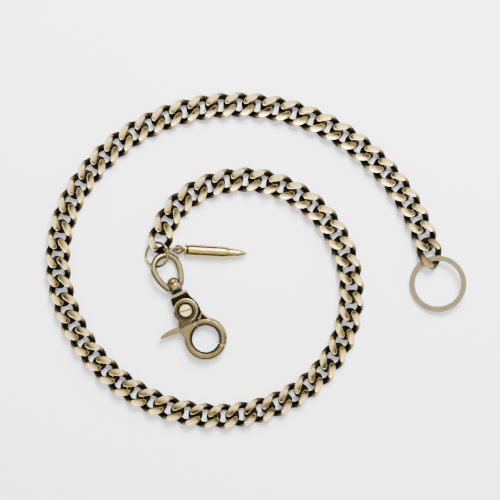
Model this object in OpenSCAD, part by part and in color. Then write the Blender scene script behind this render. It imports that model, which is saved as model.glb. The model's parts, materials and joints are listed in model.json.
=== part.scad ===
// Pocket watch chain: ground curb links laid in a flat spiral, a plain split ring on the outer end,
// a swivel trigger clasp and a small cartridge charm on the inner end.
// Millimetres, +Z up, lying on z = 0, the origin under the middle of the whole piece.

/* [Chain] */
// Links in the chain, the single end link included
link_count = 69; // [3:2:99]
// Length of one link over the wire
link_length = 11.8; // [8:0.1:16]
// Width of one link over the wire
link_width = 9; // [6:0.1:12]
// Wire diameter of a link
link_wire = 2.4; // [1.5:0.05:3]
// How steeply the wire rises and falls round the link
link_wave = 2.7; // [1.5:0.1:3.5]
// Thickness left when both faces are ground flat
link_thickness = 4; // [3:0.1:5]
// Distance from one link to the next
link_pitch = 6.55; // [6:0.05:7]
// Drop in wire diameter on every second arc, which hides the joins
arc_step = 0.06; // [0.02:0.01:0.1]
// Angle by which the arcs of a link run into each other
arc_lap = 1; // [0.5:0.1:2]

/* [Lay of the chain] */
// Centre of the first link, at the clasp end
chain_start = [-33.44, 8.25, 2];
// Heading of the first link
chain_heading = 76; // [0:1:180]
// Groups along the chain: links in the group, and the bend from each link to the next
lay = [[3, 15], [5, 10.6], [4, 9.6], [10, 8.9], [5, 7.2], [11, 6.5], [6, 7.9], [6, 5.9], [18, 5.3]];
// Roll of the end link, where the split ring lifts one side of it
end_roll = -7.5; // [-20:0.5:20]
// Lift of the end link off the table
end_lift = 0.4; // [0:0.05:1]

/* [Split ring] */
// Outer diameter
split_ring_diameter = 20; // [15:0.5:30]
// Width of the flat band
split_ring_band = 1.9; // [1:0.1:3]
// Thickness of one of the two coils
split_ring_coil = 0.55; // [0.4:0.05:1]
// Distance from the middle of the end link to the middle of the ring
split_ring_reach = 11.15; // [9:0.05:13]
// Lean of the ring, from under one side of the link to over the other
split_ring_lean = 10; // [0:1:30]
// Gap left where a coil ends
split_ring_gap = 4; // [1:1:20]
// Where the upper coil ends, as an angle in plan
split_ring_end = 60; // [0:5:355]

/* [Jump rings] */
// Outer diameter of the ring that carries the clasp
jump_ring_diameter = 9.6; // [7:0.1:12]
// Wire of the ring that carries the clasp
jump_ring_wire = 1; // [0.6:0.05:1.5]
// Middle of the ring that carries the clasp
jump_ring_place = [-34.84, 2.05, 2.3];
// Tilt of the ring that carries the clasp, and the side it is tilted to
jump_ring_tilt = [21.9, 175];
// Outer diameter of the small ring of the charm
charm_ring_diameter = 6.5; // [3:0.1:8]
// Wire of the small ring of the charm
charm_ring_wire = 0.7; // [0.4:0.05:1]
// Middle of the small ring of the charm
charm_ring_place = [-29.5, 3.93, 3.63];
// Tilt of the small ring of the charm, and the side it is tilted to
charm_ring_tilt = [96.8, 94];

/* [Swivel] */
// Middle of the swivel flange on the table
clasp_position = [-27.24, -11.95, 2.8];
// Heading of the clasp, from the bail to the hook
clasp_heading = -65.2; // [-90:0.1:90]
// Turn of the bail on the rivet
bail_turned = -18; // [-180:1:180]
// Wire of the bail
bail_wire = 2.3; // [1.5:0.1:3]
// Half the width of the bail, to the middle of its wire
bail_half_width = 4.6; // [3:0.1:7]
// Where the side of the bail meets its boss, as a half width
bail_root = 2.3; // [1:0.1:4]
// Distance from the flange to the middle of the top bend of the bail
bail_reach = 10.2; // [8:0.1:14]
// Diameter of the boss the bail turns on
boss_diameter = 5.5; // [4:0.1:7]
// The two ends of the boss, as distances before the flange
boss_ends = [1.6, 4.4];
// Diameter of the rivet through the boss
rivet_diameter = 2.4; // [1.5:0.1:3.5]
// Diameter of the rivet head
rivet_head = 4.1; // [3:0.1:5]
// Height of the rivet head
rivet_head_height = 1.9; // [1:0.1:3]
// Depth of the rivet shank past the middle of the flange
rivet_depth = 1.3; // [0.8:0.1:2]
// Radius of the dome on the rivet head
rivet_dome = 2.6; // [2.1:0.1:5]
// Running clearance of a turning fit, on the radius
running_fit = 0.08; // [0.02:0.01:0.1]

/* [Clasp] */
// Thickness of the clasp at its plates
clasp_thickness = 3.4; // [2:0.1:5]
// Width of the flange
flange_width = 6.8; // [5:0.1:9]
// Thickness of the flange, across the clasp
flange_thickness = 4.8; // [3:0.1:6]
// Length of the flange along the clasp
flange_length = 0.9; // [0.5:0.1:2]
// Distance from the flange to the pivot
pivot_reach = 6.3; // [4:0.1:9]
// Radius of the round end of the lever
lever_radius = 4.4; // [3:0.1:6]
// Middle of the hook eye: along the clasp and across it
eye_middle = [18.3, 2.2];
// Radius of the hook eye
eye_radius = 4.65; // [3:0.05:7]
// Width of the hook section
hook_width = 3; // [2:0.1:4]
// Angle at which the two halves of the hook meet
hook_split = 46; // [20:1:80]
// Angle at which the hook halves part at the neck
neck_split = 188; // [170:1:210]
// Gap between the two halves
hook_gap = 0.35; // [0.1:0.05:0.6]
// Gap between the body plate and the lever plate
plate_gap = 0.06; // [0.02:0.01:0.1]
// Outer end of the thumb tab: along the clasp and across it
tab_tip = [11.3, -12.2];
// Thickness of the thumb tab at its end
tab_thickness = 1.3; // [0.8:0.1:2.5]

// Height of the thumb tab across the clasp
tab_height = 3; // [1:0.1:3.4]

/* [Return spring] */
// Radius of the turn of wire, to its middle
spring_radius = 1.9; // [1.5:0.1:2.5]
// Wire of the spring
spring_wire = 0.4; // [0.2:0.05:0.6]
// Depth of the pocket in the body plate
spring_pocket = 1.1; // [0.8:0.1:1.4]
// Height of the bent end above the body plate
spring_leg_rise = 0.45; // [0.2:0.05:0.6]
// Where the bent end reaches into the lever
spring_leg = -80; // [-180:5:180]

/* [Pivot screw] */
// Diameter of the screw head
screw_head = 4.7; // [3:0.1:6]
// Diameter of the recess round the head
screw_recess = 5.7; // [4:0.1:7]
// Diameter of the screw shank
screw_shank = 2.4; // [1.5:0.1:3]
// Depth of the recess
screw_sink = 0.7; // [0.4:0.1:1]
// Width of the slot
slot_width = 0.6; // [0.3:0.05:1]
// Turn of the slot on the table
slot_turn = 15; // [0:5:180]

/* [Charm] */
// Middle of the base of the case, on the table
charm_position = [-25.04, 3.8, 2.15];
// Heading of the charm
charm_heading = -3.6; // [-90:0.1:90]
// Length over all, from base to point
charm_length = 22.5; // [15:0.5:35]
// Diameter of the case
charm_diameter = 4.2; // [3:0.1:6]
// Diameter of the neck of the case
charm_neck = 3.2; // [2:0.1:5]
// Length of the straight case
case_length = 14.2; // [8:0.1:20]
// Length of the case with its shoulder and neck
case_total = 17.4; // [10:0.1:25]
// Outer diameter of the eye
eye_loop = 3.6; // [2.5:0.1:5]
// Wire of the eye
eye_wire = 1; // [0.6:0.05:1.5]
// Depth of the peg of the eye in the base
eye_peg = 1.5; // [1:0.1:3]
// Depth of the nose in the neck
neck_depth = 2; // [1:0.1:3]

/* [Shown] */
// Sub-part to draw

/* [Hidden] */
$fn = 96;
slack = 0.01;
brass = [0.72, 0.6, 0.36];
dark_brass = [0.3, 0.26, 0.18];
pale_brass = [0.8, 0.72, 0.5];

function unit(v) = v / norm(v);
function way(a) = [cos(a), sin(a), 0];
function total(v, n) = n == 0 ? 0 : v[n - 1] + total(v, n - 1);

// One quarter of a link is two arcs in space that meet smoothly, from the tip to the flank
reach_x = (link_length - link_wire) / 2;
reach_y = (link_width - link_wire) / 2;
tip = [reach_x, 0, 0];
flank = [0, reach_y, 0];
tip_way = unit([0, reach_y, -2 * link_wave]);
flank_way = unit([-reach_x, 0, 2 * link_wave]);
span = flank - tip;
square_part = 2 * tip_way * flank_way - 2;
line_part = -2 * span * (tip_way + flank_way);
tangent = (-line_part - sqrt(line_part * line_part - 4 * square_part * span * span)) / (2 * square_part);
tip_corner = tip + tangent * tip_way;
flank_corner = flank - tangent * flank_way;
meeting = (tip_corner + flank_corner) / 2;

// The lay of the chain: heading and place of every link
bends = [for (group = lay) for (k = [1 : group[0]]) group[1]];
headings = [for (i = [0 : link_count - 1]) chain_heading - total(bends, i)];
function place(i) = i == 0 ? chain_start
    : place(i - 1) + link_pitch / 2 * (way(headings[i - 1]) + way(headings[i]));
pair_count = (link_count - 1) / 2;
function pair_name(k) = str("links_", k < 10 ? "0" : "", k);

// Bail: the side arcs run from the top bend to the boss
bail_drop = bail_reach - (boss_ends[0] + boss_ends[1]) / 2;
bail_draw = bail_half_width - bail_root;
bail_side = (bail_drop * bail_drop + bail_draw * bail_draw) / (2 * bail_draw);
bail_turn = asin(bail_drop / bail_side);

// Hook
eye_outer = eye_radius + hook_width;
half_clasp = clasp_thickness / 2;
pivot = [pivot_reach, 0];

// An arc of round wire from point a, leaving along unit vector t, to point b
module wire_arc(a, t, b, wire) {
    chord = b - a;
    side = unit(chord - (chord * t) * t);
    turn = 2 * acos(unit(chord) * t);
    radius = norm(chord) / (2 * sin(turn / 2));
    middle = a + radius * side;
    normal = cross(t, side);
    multmatrix([
        [-side[0], t[0], normal[0], middle[0]],
        [-side[1], t[1], normal[1], middle[1]],
        [-side[2], t[2], normal[2], middle[2]]
    ])
        rotate([0, 0, -arc_lap])
            rotate_extrude(angle = turn + 2 * arc_lap)
                translate([radius, 0])
                    circle(d = wire);
}

module link_quarter(tip_wire, flank_wire) {
    wire_arc(tip, tip_way, meeting, tip_wire);
    wire_arc(meeting, unit(flank_corner - tip_corner), flank, flank_wire);
}

// One curb link, round wire with both faces ground flat
module curb_link() {
    intersection() {
        union() {
            for (turn = [0, 180])
                rotate([0, 0, turn])
                    link_quarter(link_wire, link_wire - arc_step);
            for (turn = [0, 180])
                rotate([0, 0, turn])
                    rotate([180, 0, 0])
                        link_quarter(link_wire - arc_step, link_wire);
        }
        cube([2 * link_length, 2 * link_width, link_thickness], center = true);
    }
}

module placed_link(i) {
    translate(place(i))
        rotate([0, 0, headings[i]])
            curb_link();
}

// Two neighbouring links of the chain
module link_pair(k) {
    color(brass) {
        placed_link(2 * k - 2);
        placed_link(2 * k - 1);
    }
}

module end_link() {
    color(dark_brass)
        translate(place(link_count - 1) + [0, 0, end_lift])
            rotate([0, 0, headings[link_count - 1]])
                rotate([end_roll, 0, 0])
                    curb_link();
}

module wire_ring(diameter, wire) {
    rotate_extrude()
        translate([(diameter - wire) / 2, 0])
            circle(d = wire);
}

module ring_coil(height) {
    rotate([0, 0, split_ring_gap / 2])
        rotate_extrude(angle = 360 - split_ring_gap)
            translate([split_ring_diameter / 2 - split_ring_band, height])
                square([split_ring_band, split_ring_coil + slack]);
}

// Two flat coils, each open at its own end
module split_ring() {
    color(pale_brass)
        translate(place(link_count - 1) + split_ring_reach * way(headings[link_count - 1]) + [0, 0, end_lift])
            rotate([0, 0, headings[link_count - 1]])
                rotate([split_ring_lean, 0, 0])
                    rotate([0, 0, split_ring_end - headings[link_count - 1]]) {
                        ring_coil(-slack);
                        rotate([0, 0, 180])
                            ring_coil(-split_ring_coil);
                    }
}

// Round wire ring that joins the first link, the bail and the charm
module clasp_jump_ring() {
    color(pale_brass)
        translate(jump_ring_place)
            rotate([0, jump_ring_tilt[0], jump_ring_tilt[1]])
                wire_ring(jump_ring_diameter, jump_ring_wire);
}

module on_clasp() {
    translate(clasp_position)
        rotate([0, 0, clasp_heading])
            children();
}

// A round bar along the clasp, from one distance before the flange to another
module bar(from, to, diameter) {
    translate([-from, 0, 0])
        rotate([0, 90, 0])
            cylinder(h = from - to, d = diameter);
}

module bail_side_arc() {
    translate([-bail_reach, bail_half_width - bail_side, 0])
        rotate([0, 0, 90 - bail_turn])
            rotate_extrude(angle = bail_turn + arc_lap)
                translate([bail_side, 0])
                    circle(d = bail_wire - arc_step);
    translate([bail_drop - bail_reach, bail_root, 0])
        sphere(d = bail_wire);
}

// Oval bail with the boss the rivet runs through
module swivel_bail() {
    color(brass)
        on_clasp()
            rotate([bail_turned, 0, 0])
            difference() {
                union() {
                    translate([-bail_reach, 0, 0])
                        rotate([0, 0, 90])
                            rotate_extrude(angle = 180)
                                translate([bail_half_width, 0])
                                    circle(d = bail_wire);
                    bail_side_arc();
                    mirror([0, 1, 0])
                        bail_side_arc();
                    bar(boss_ends[1], boss_ends[0], boss_diameter);
                }
                bar(boss_ends[1] + 1, boss_ends[0] - 1, rivet_diameter + 2 * running_fit);
                translate([-boss_ends[1] - boss_diameter, 0, 0])
                    rotate([0, 90, 0])
                        cylinder(h = boss_diameter, d = rivet_head + 0.4);
            }
}

// Dark washer between the boss and the flange
module swivel_washer() {
    color(dark_brass)
        on_clasp()
            difference() {
                bar(boss_ends[0] - 0.1, flange_length / 2 + 0.1, boss_diameter - 1);
                bar(boss_ends[0] + 1, -1, rivet_diameter + 2 * running_fit);
            }
}

// Rivet: a domed head inside the bail, its shank fixed in the clasp body
module swivel_rivet() {
    color(dark_brass)
        on_clasp() {
            bar(boss_ends[1] + 0.5, -rivet_depth, rivet_diameter);
            bar(boss_ends[1] + 0.1 + rivet_head_height / 2, boss_ends[1] + 0.1, rivet_head);
            intersection() {
                translate([rivet_dome - boss_ends[1] - 0.1 - rivet_head_height, 0, 0])
                    sphere(r = rivet_dome);
                bar(boss_ends[1] + 1 + rivet_head_height, boss_ends[1] + 0.3, rivet_head - arc_step);
            }
        }
}

// Plan of the plate under the lever, joined to the flange
module body_plan() {
    translate(pivot)
        circle(r = lever_radius - 0.2);
    polygon([
        [0, -3.1], [0, 3.1], [2.2, 3.6], [5.6, 4.9], [9, 4.9], [10.6, 2.6], [9.6, -2.6], [3, -3.4]
    ]);
}

// Plan of the arm that carries the fixed half of the hook
module arm_plan() {
    polygon([
        [2.2, 3.6], [5.6, 4.9], [8.9, 5.1], [11.4, 6.1], [15.4, 8.3], [18.3, 8.4], [18.3, 7.5],
        [14, 3.2], [13.5, 1.6], [12.6, 1.2], [9.9, 3.9], [8.2, 4.6]
    ]);
}

// Plan of the full-thickness shoulder above the round end of the lever
module shoulder_plan() {
    polygon([[0.3, -3.1], [0.3, 3.1], [2.2, 3.6], [5.6, 4.9], [8.4, 4.9], [4, -3.6], [2, -3.35]]);
}

// Section of the hook: rounded, with a flat land round the eye
module hook_section() {
    translate([eye_radius + hook_width / 2, 0])
        intersection() {
            circle(d = hook_width + 0.5);
            square([hook_width, clasp_thickness - 0.1], center = true);
        }
}

// Part of the hook ring, from one angle to another
module hook_arc(from, to) {
    translate(eye_middle)
        rotate([0, 0, from])
            rotate_extrude(angle = to - from)
                hook_section();
}

hook_gap_angle = hook_gap / (eye_radius + hook_width / 2) * 180 / PI;

// Room for the lever plate to swing over the body
module lever_room(extra) {
    translate(pivot)
        circle(r = lever_radius + extra);
}

// Clasp body: flange, neck, lower plate, and the fixed half of the hook
module clasp_body() {
    color(dark_brass)
        on_clasp()
            difference() {
                union() {
                    intersection() {
                        bar(flange_length / 2, -flange_length / 2, flange_width);
                        cube([flange_width, 2 * flange_width, flange_thickness], center = true);
                    }
                    translate([0, 0, -half_clasp])
                        linear_extrude(height = half_clasp)
                            body_plan();
                    difference() {
                        translate([0, 0, -half_clasp])
                            linear_extrude(height = clasp_thickness)
                                shoulder_plan();
                        linear_extrude(height = clasp_thickness)
                            lever_room(hook_gap);
                    }
                    difference() {
                        translate([0, 0, -half_clasp])
                            linear_extrude(height = clasp_thickness)
                                arm_plan();
                        linear_extrude(height = clasp_thickness)
                            lever_room(hook_gap);
                        translate(eye_middle)
                            cylinder(h = 10, r = eye_radius + hook_width / 2, center = true);
                    }
                    difference() {
                        hook_arc(hook_split + hook_gap_angle / 2, neck_split - hook_gap_angle / 2);
                        linear_extrude(height = clasp_thickness)
                            lever_room(2 * hook_gap);
                    }
                }
                bar(1, -rivet_depth - 0.2, rivet_diameter);
                translate([pivot_reach, 0, -half_clasp - 1])
                    cylinder(h = clasp_thickness, d = screw_shank);
                translate([pivot_reach, 0, -spring_pocket])
                    cylinder(h = spring_pocket + 1, r = spring_radius + spring_wire);
            }
}

// Plan of the lever plate over the body: round end, neck and the root of the thumb tab
module lever_plan() {
    translate(pivot)
        circle(r = lever_radius);
    polygon([
        [7.6, 4.2], [9.2, 3.75], [10.15, 2.9], [10.15, 1.2], [10.6, 0.8], [12.4, 0.85], [13.1, 0.2],
        [12.6, -4.6], [10.6, -4.7], [8.6, -3.9], [6.3, -4.4]
    ]);
}

// Plan of the full-thickness part of the lever, below the body plate
module lever_root_plan() {
    polygon([[11.6, 0.6], [13.1, 0.25], [14.2, -1.6], [15.6, -4.3], [12.6, -5], [11.5, -4.6], [11.2, -2.4]]);
}

module tab_plan() {
    polygon([
        [10.2, -4.2], [10.4, -7], tab_tip - [0.65, 0], tab_tip + [0.65, 0], [12.4, -7], [12.9, -4.8]
    ]);
}

// Lever: upper plate, thumb tab, and the moving half of the hook
module clasp_lever() {
    color(brass)
        on_clasp()
            difference() {
                union() {
                    translate([0, 0, plate_gap])
                        linear_extrude(height = half_clasp - plate_gap)
                            lever_plan();
                    difference() {
                        translate([0, 0, -half_clasp])
                            linear_extrude(height = clasp_thickness)
                                lever_root_plan();
                        translate([pivot_reach, 0, -half_clasp - 1])
                            cylinder(h = half_clasp + 1 + plate_gap, r = lever_radius + 0.2);
                        translate(eye_middle)
                            cylinder(h = 10, r = eye_radius + hook_width / 2, center = true);
                    }
                    translate([0, 0, -tab_height / 2])
                        linear_extrude(height = tab_height)
                            difference() {
                                tab_plan();
                                lever_room(0.2);
                            }
                    hook_arc(neck_split + hook_gap_angle / 2, 360 + hook_split - hook_gap_angle / 2);
                }
                translate([pivot_reach, 0, -half_clasp])
                    cylinder(h = clasp_thickness + 1, d = screw_shank + 2 * running_fit);
                translate([pivot_reach, 0, half_clasp - screw_sink])
                    cylinder(h = screw_sink + 1, d = screw_recess);
                translate([pivot_reach, 0, -1])
                    rotate([0, 0, spring_leg - 16])
                        rotate_extrude(angle = 50)
                            translate([spring_radius - 0.4, 0])
                                square([0.8, 1 + spring_leg_rise + 0.1]);
            }
}

// Slotted screw the lever turns on
module pivot_screw() {
    color(pale_brass)
        on_clasp()
            translate([pivot_reach, 0, 0])
                difference() {
                    union() {
                        translate([0, 0, -half_clasp])
                            cylinder(h = clasp_thickness - screw_sink + 0.1, d = screw_shank);
                        translate([0, 0, half_clasp - screw_sink + 0.05])
                            cylinder(h = screw_sink - 0.05, d = screw_head);
                    }
                    rotate([0, 0, slot_turn - clasp_heading])
                        translate([-screw_head, -slot_width / 2, half_clasp - screw_sink * 0.6])
                            cube([2 * screw_head, slot_width, 1]);
                }
}

// Return spring in its pocket round the screw: one turn of wire with two bent ends
module lever_spring() {
    color(dark_brass)
        on_clasp()
            translate([pivot_reach, 0, -spring_pocket / 2 - 0.05]) {
                rotate([0, 0, spring_leg])
                    rotate_extrude(angle = 330)
                        translate([spring_radius, 0])
                            circle(d = spring_wire);
                rotate([0, 0, spring_leg])
                    translate([spring_radius, 0, 0])
                        cylinder(h = spring_pocket / 2 + 0.05 + spring_leg_rise, d = spring_wire - arc_step);
                rotate([0, 0, spring_leg + 330])
                    translate([spring_radius, 0, 0])
                        cylinder(h = spring_pocket / 2 - 0.1, d = spring_wire - arc_step);
            }
}

// Vertical ring between the jump ring and the charm
module charm_ring() {
    color(pale_brass)
        translate(charm_ring_place)
            rotate([0, charm_ring_tilt[0], charm_ring_tilt[1]])
                wire_ring(charm_ring_diameter, charm_ring_wire);
}

// The charm stands on its base at the local origin and points along +Z before it is laid down
module on_charm() {
    translate(charm_position)
        rotate([0, 0, charm_heading])
            rotate([0, 90, 0])
                children();
}

module charm_eye() {
    color(dark_brass)
        on_charm() {
            translate([0, 0, -eye_loop / 2 - 0.3])
                rotate([0, 90, 0])
                    wire_ring(eye_loop, eye_wire);
            translate([0, 0, -0.8])
                cylinder(h = 0.8 + eye_peg, d = eye_wire + 0.3);
        }
}

// Cartridge case: rim, groove, straight wall, shoulder and neck
module charm_case() {
    r = charm_diameter / 2;
    neck = charm_neck / 2;
    color(brass)
        on_charm()
            difference() {
                rotate_extrude()
                    polygon([
                        [0, 0], [r - 0.15, 0], [r, 0.15], [r, 0.7], [r - 0.35, 0.9], [r - 0.35, 1.3],
                        [r, 1.6], [r, case_length], [neck, case_length + 1.8], [neck, case_total], [0, case_total]
                    ]);
                translate([0, 0, -1])
                    cylinder(h = 1 + eye_peg, d = eye_wire + 0.3);
                translate([0, 0, case_total - neck_depth])
                    cylinder(h = neck_depth + 1, r = neck - 0.3);
            }
}

// Bullet nose: its peg in the neck, then an ogive to a small flat point
module charm_nose() {
    r = charm_neck / 2 - 0.3;
    nose = charm_length - case_total;
    ogive = (nose * nose + r * r) / (2 * r);
    steps = 8;
    color(pale_brass)
        on_charm()
            translate([0, 0, case_total])
                rotate_extrude()
                    polygon(concat(
                        [[0, -neck_depth], [r, -neck_depth]],
                        [for (k = [0 : steps]) let (y = 0.98 * nose * k / steps)
                            [r - ogive + sqrt(ogive * ogive - y * y), y]],
                        [[0, 0.98 * nose]]
                    ));
}

for (k = [1 : pair_count])
    link_pair(k);
end_link();
split_ring();
clasp_jump_ring();
swivel_bail();
swivel_washer();
swivel_rivet();
clasp_body();
clasp_lever();
pivot_screw();
lever_spring();
charm_ring();
charm_eye();
charm_case();
charm_nose();
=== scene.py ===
"""Looks of the pocket watch chain: ground curb links, split ring, swivel trigger clasp and cartridge charm."""

import json
import math

import bmesh
import bpy
from bpy.props import FloatProperty, FloatVectorProperty, PointerProperty
from mathutils import Matrix, Vector


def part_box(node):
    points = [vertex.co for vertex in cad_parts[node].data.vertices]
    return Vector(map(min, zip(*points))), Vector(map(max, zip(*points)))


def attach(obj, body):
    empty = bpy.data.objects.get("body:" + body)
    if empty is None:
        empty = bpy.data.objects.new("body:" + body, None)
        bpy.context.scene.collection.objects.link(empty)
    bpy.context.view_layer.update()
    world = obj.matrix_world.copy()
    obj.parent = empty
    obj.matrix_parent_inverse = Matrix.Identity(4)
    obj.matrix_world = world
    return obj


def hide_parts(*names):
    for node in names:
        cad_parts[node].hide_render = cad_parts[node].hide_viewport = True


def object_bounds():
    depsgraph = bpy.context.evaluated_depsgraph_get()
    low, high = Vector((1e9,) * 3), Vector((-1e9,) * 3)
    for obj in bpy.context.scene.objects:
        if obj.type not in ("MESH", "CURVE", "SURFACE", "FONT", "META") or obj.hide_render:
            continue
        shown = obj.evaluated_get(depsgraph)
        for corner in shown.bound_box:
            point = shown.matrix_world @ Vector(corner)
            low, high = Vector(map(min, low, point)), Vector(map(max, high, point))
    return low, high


bl_info = {
    "name": "Pocket Watch Chain",
    "version": (1, 0, 0),
    "blender": (4, 5, 0),
    "location": "3D View > Sidebar > Watch Chain",
    "description": "Builds the links, rings, clasp and charm of a curb watch chain",
    "category": "Object",
}

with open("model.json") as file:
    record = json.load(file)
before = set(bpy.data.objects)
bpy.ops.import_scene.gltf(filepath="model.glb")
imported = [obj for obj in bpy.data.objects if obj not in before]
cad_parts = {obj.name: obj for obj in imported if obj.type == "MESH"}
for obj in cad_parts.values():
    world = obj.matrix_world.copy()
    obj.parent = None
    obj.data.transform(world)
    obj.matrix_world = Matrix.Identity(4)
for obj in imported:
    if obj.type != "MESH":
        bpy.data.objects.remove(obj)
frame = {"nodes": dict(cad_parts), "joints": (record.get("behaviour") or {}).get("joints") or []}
CAD_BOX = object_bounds()
JOINTS = {joint["name"]: joint for joint in frame["joints"]}
MM = 0.001

# Groups along the chain: links in the group, and the bend from each link to the next, in degrees
LAY = ((3, 15), (5, 10.6), (4, 9.6), (10, 8.9), (5, 7.2), (11, 6.5), (6, 7.9), (6, 5.9), (18, 5.3))

CHAIN_START = (-33.44, 8.25)  # middle of the first link
JUMP_RING_PLACE, JUMP_RING_TILT = (-34.84, 2.05, 2.3), (21.9, 175)
CHARM_RING_PLACE, CHARM_RING_TILT = (-29.5, 3.93, 3.63), (96.8, 94)
CHARM_PLACE, CHARM_HEADING = (-25.04, 3.8, 2.15), -3.6

# Clasp, in millimetres and degrees from its swivel, with X along it
PIVOT = (6.3, 0)
EYE = (18.3, 2.2)
HALF_CLASP = 1.7
BORE = 1.28
HOOK_SPLIT, NECK_SPLIT, HOOK_GAP = 46, 188, 1.6


# ---------------------------------------------------------------- settings


def length(name, text, value):
    return FloatProperty(name=name, description=text, default=value * MM, min=0, unit="LENGTH", precision=5)


def angle(name, text, value):
    return FloatProperty(name=name, description=text, default=math.radians(value), unit="ROTATION")


def colour(name, text, value):
    return FloatVectorProperty(name=name, description=text, default=value, size=3, subtype="COLOR", min=0, max=1)


class ChainSettings(bpy.types.PropertyGroup):
    link_length: length("Link Length", "Length of one link over the wire", 11.8)
    link_width: length("Link Width", "Width of one link over the wire", 9)
    wire: length("Wire", "Diameter of the wire", 2.4)
    wave: length("Wave", "How steeply the wire rises and falls round the link", 2.7)
    thickness: length("Ground Thickness", "Thickness left between the two ground faces", 4)
    facet_edge: length("Facet Edge", "Width of the softened edge round a ground face", 0.16)
    pitch: length("Pitch", "Distance from one link to the next", 6.55)
    heading: angle("First Heading", "Heading of the link at the clasp end", 76)
    end_roll: angle("End Roll", "Roll of the end link on the split ring", -7.5)
    end_lift: length("End Lift", "Lift of the end link", 0.4)


class RingSettings(bpy.types.PropertyGroup):
    split_diameter: length("Split Ring Diameter", "Outer diameter of the split ring", 20)
    split_band: length("Split Ring Band", "Width of its flat band", 1.9)
    split_coil: length("Split Ring Coil", "Thickness of one coil", 0.55)
    split_end: angle("Split Ring End", "Where the upper coil ends in plan", 60)
    jump_diameter: length("Jump Ring Diameter", "Outer diameter of the ring that carries the clasp", 9.6)
    jump_wire: length("Jump Ring Wire", "Wire of the ring that carries the clasp", 1)
    charm_diameter: length("Charm Ring Diameter", "Outer diameter of the small ring", 6.5)
    charm_wire: length("Charm Ring Wire", "Wire of the small ring", 0.7)


class ClaspSettings(bpy.types.PropertyGroup):
    bail_wire: length("Bail Wire", "Wire of the bail", 2.3)
    bail_turn: angle("Bail Turn", "Turn of the bail on its rivet", -18)
    eye: length("Eye Radius", "Radius of the hook eye", 4.65)
    hook: length("Hook Width", "Width of the hook", 3)
    slot_turn: angle("Slot Turn", "Turn of the screw slot in plan", 15)


class CharmSettings(bpy.types.PropertyGroup):
    case: length("Case Diameter", "Diameter of the cartridge case", 4.2)
    neck: length("Neck Diameter", "Diameter of the neck of the case", 3.2)
    over_all: length("Length", "Length over all", 22.5)


class FinishSettings(bpy.types.PropertyGroup):
    bright: colour("Ground Brass", "Colour of the ground faces", (0.96, 0.70, 0.26))
    brass: colour("Antique Brass", "Colour of rubbed antique brass", (0.32, 0.225, 0.08))
    olive: colour("Dull Brass", "Colour of the matte clasp plates", (0.062, 0.047, 0.02))
    pale: colour("Pale Brass", "Colour of the flat split ring", (0.185, 0.15, 0.08))
    flank: colour("Rubbed Flanks", "Colour of the rubbed outer sides of the links", (0.58, 0.41, 0.14))
    thin_wire: colour("Thin Wire", "Colour of the two wire rings", (0.20, 0.15, 0.065))
    bail: colour("Bail", "Colour of the rubbed bail", (0.21, 0.158, 0.066))
    rim: colour("Rims", "Colour of the flange and of the rubbed rims", (0.25, 0.19, 0.08))
    hook: colour("Hook", "Colour of the rubbed hook", (0.165, 0.123, 0.05))
    screw: colour("Screw", "Colour of the polished screw", (0.85, 0.72, 0.40))
    steel: colour("Spring Steel", "Colour of the return spring", (0.5, 0.5, 0.5))
    case: colour("Case", "Colour of the cartridge case", (0.33, 0.245, 0.07))
    nose: colour("Nose", "Colour of the pointed nose", (0.34, 0.26, 0.095))
    # The patina colour also stands in for painted shade: on sideways faces, towards the middle of the ground faces, and
    # in the gaps round the lever and the screw.
    patina: colour("Patina", "Colour of the black patina", (0.006, 0.005, 0.004))


# ---------------------------------------------------------------- mesh helpers


def arc(centre, radius, start, end, count):
    """Points of an arc in the plane, in millimetres and degrees, ends included."""
    turns = [math.radians(start + (end - start) * k / (count - 1)) for k in range(count)]
    return [(centre[0] + radius * math.cos(t), centre[1] + radius * math.sin(t)) for t in turns]


def close_ends(bm):
    """Caps every open loop of edges."""
    bmesh.ops.holes_fill(bm, edges=[e for e in bm.edges if e.is_boundary], sides=0)


def lathe(profile, place, steps=48, material=0):
    """A turned shell: (radius, height) points in millimetres, spun about Z, then put in place."""
    bm = bmesh.new()
    verts = [bm.verts.new((r * MM, 0, z * MM)) for r, z in profile]
    edges = [bm.edges.new(pair) for pair in zip(verts, verts[1:])]
    bmesh.ops.spin(bm, geom=verts + edges, axis=(0, 0, 1), cent=(0, 0, 0), angle=math.tau, steps=steps, use_merge=True)
    bmesh.ops.remove_doubles(bm, verts=bm.verts, dist=2e-6)
    bmesh.ops.dissolve_degenerate(bm, edges=bm.edges, dist=1e-6)
    bmesh.ops.transform(bm, matrix=place, verts=bm.verts)
    return dress(bm, material)


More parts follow.
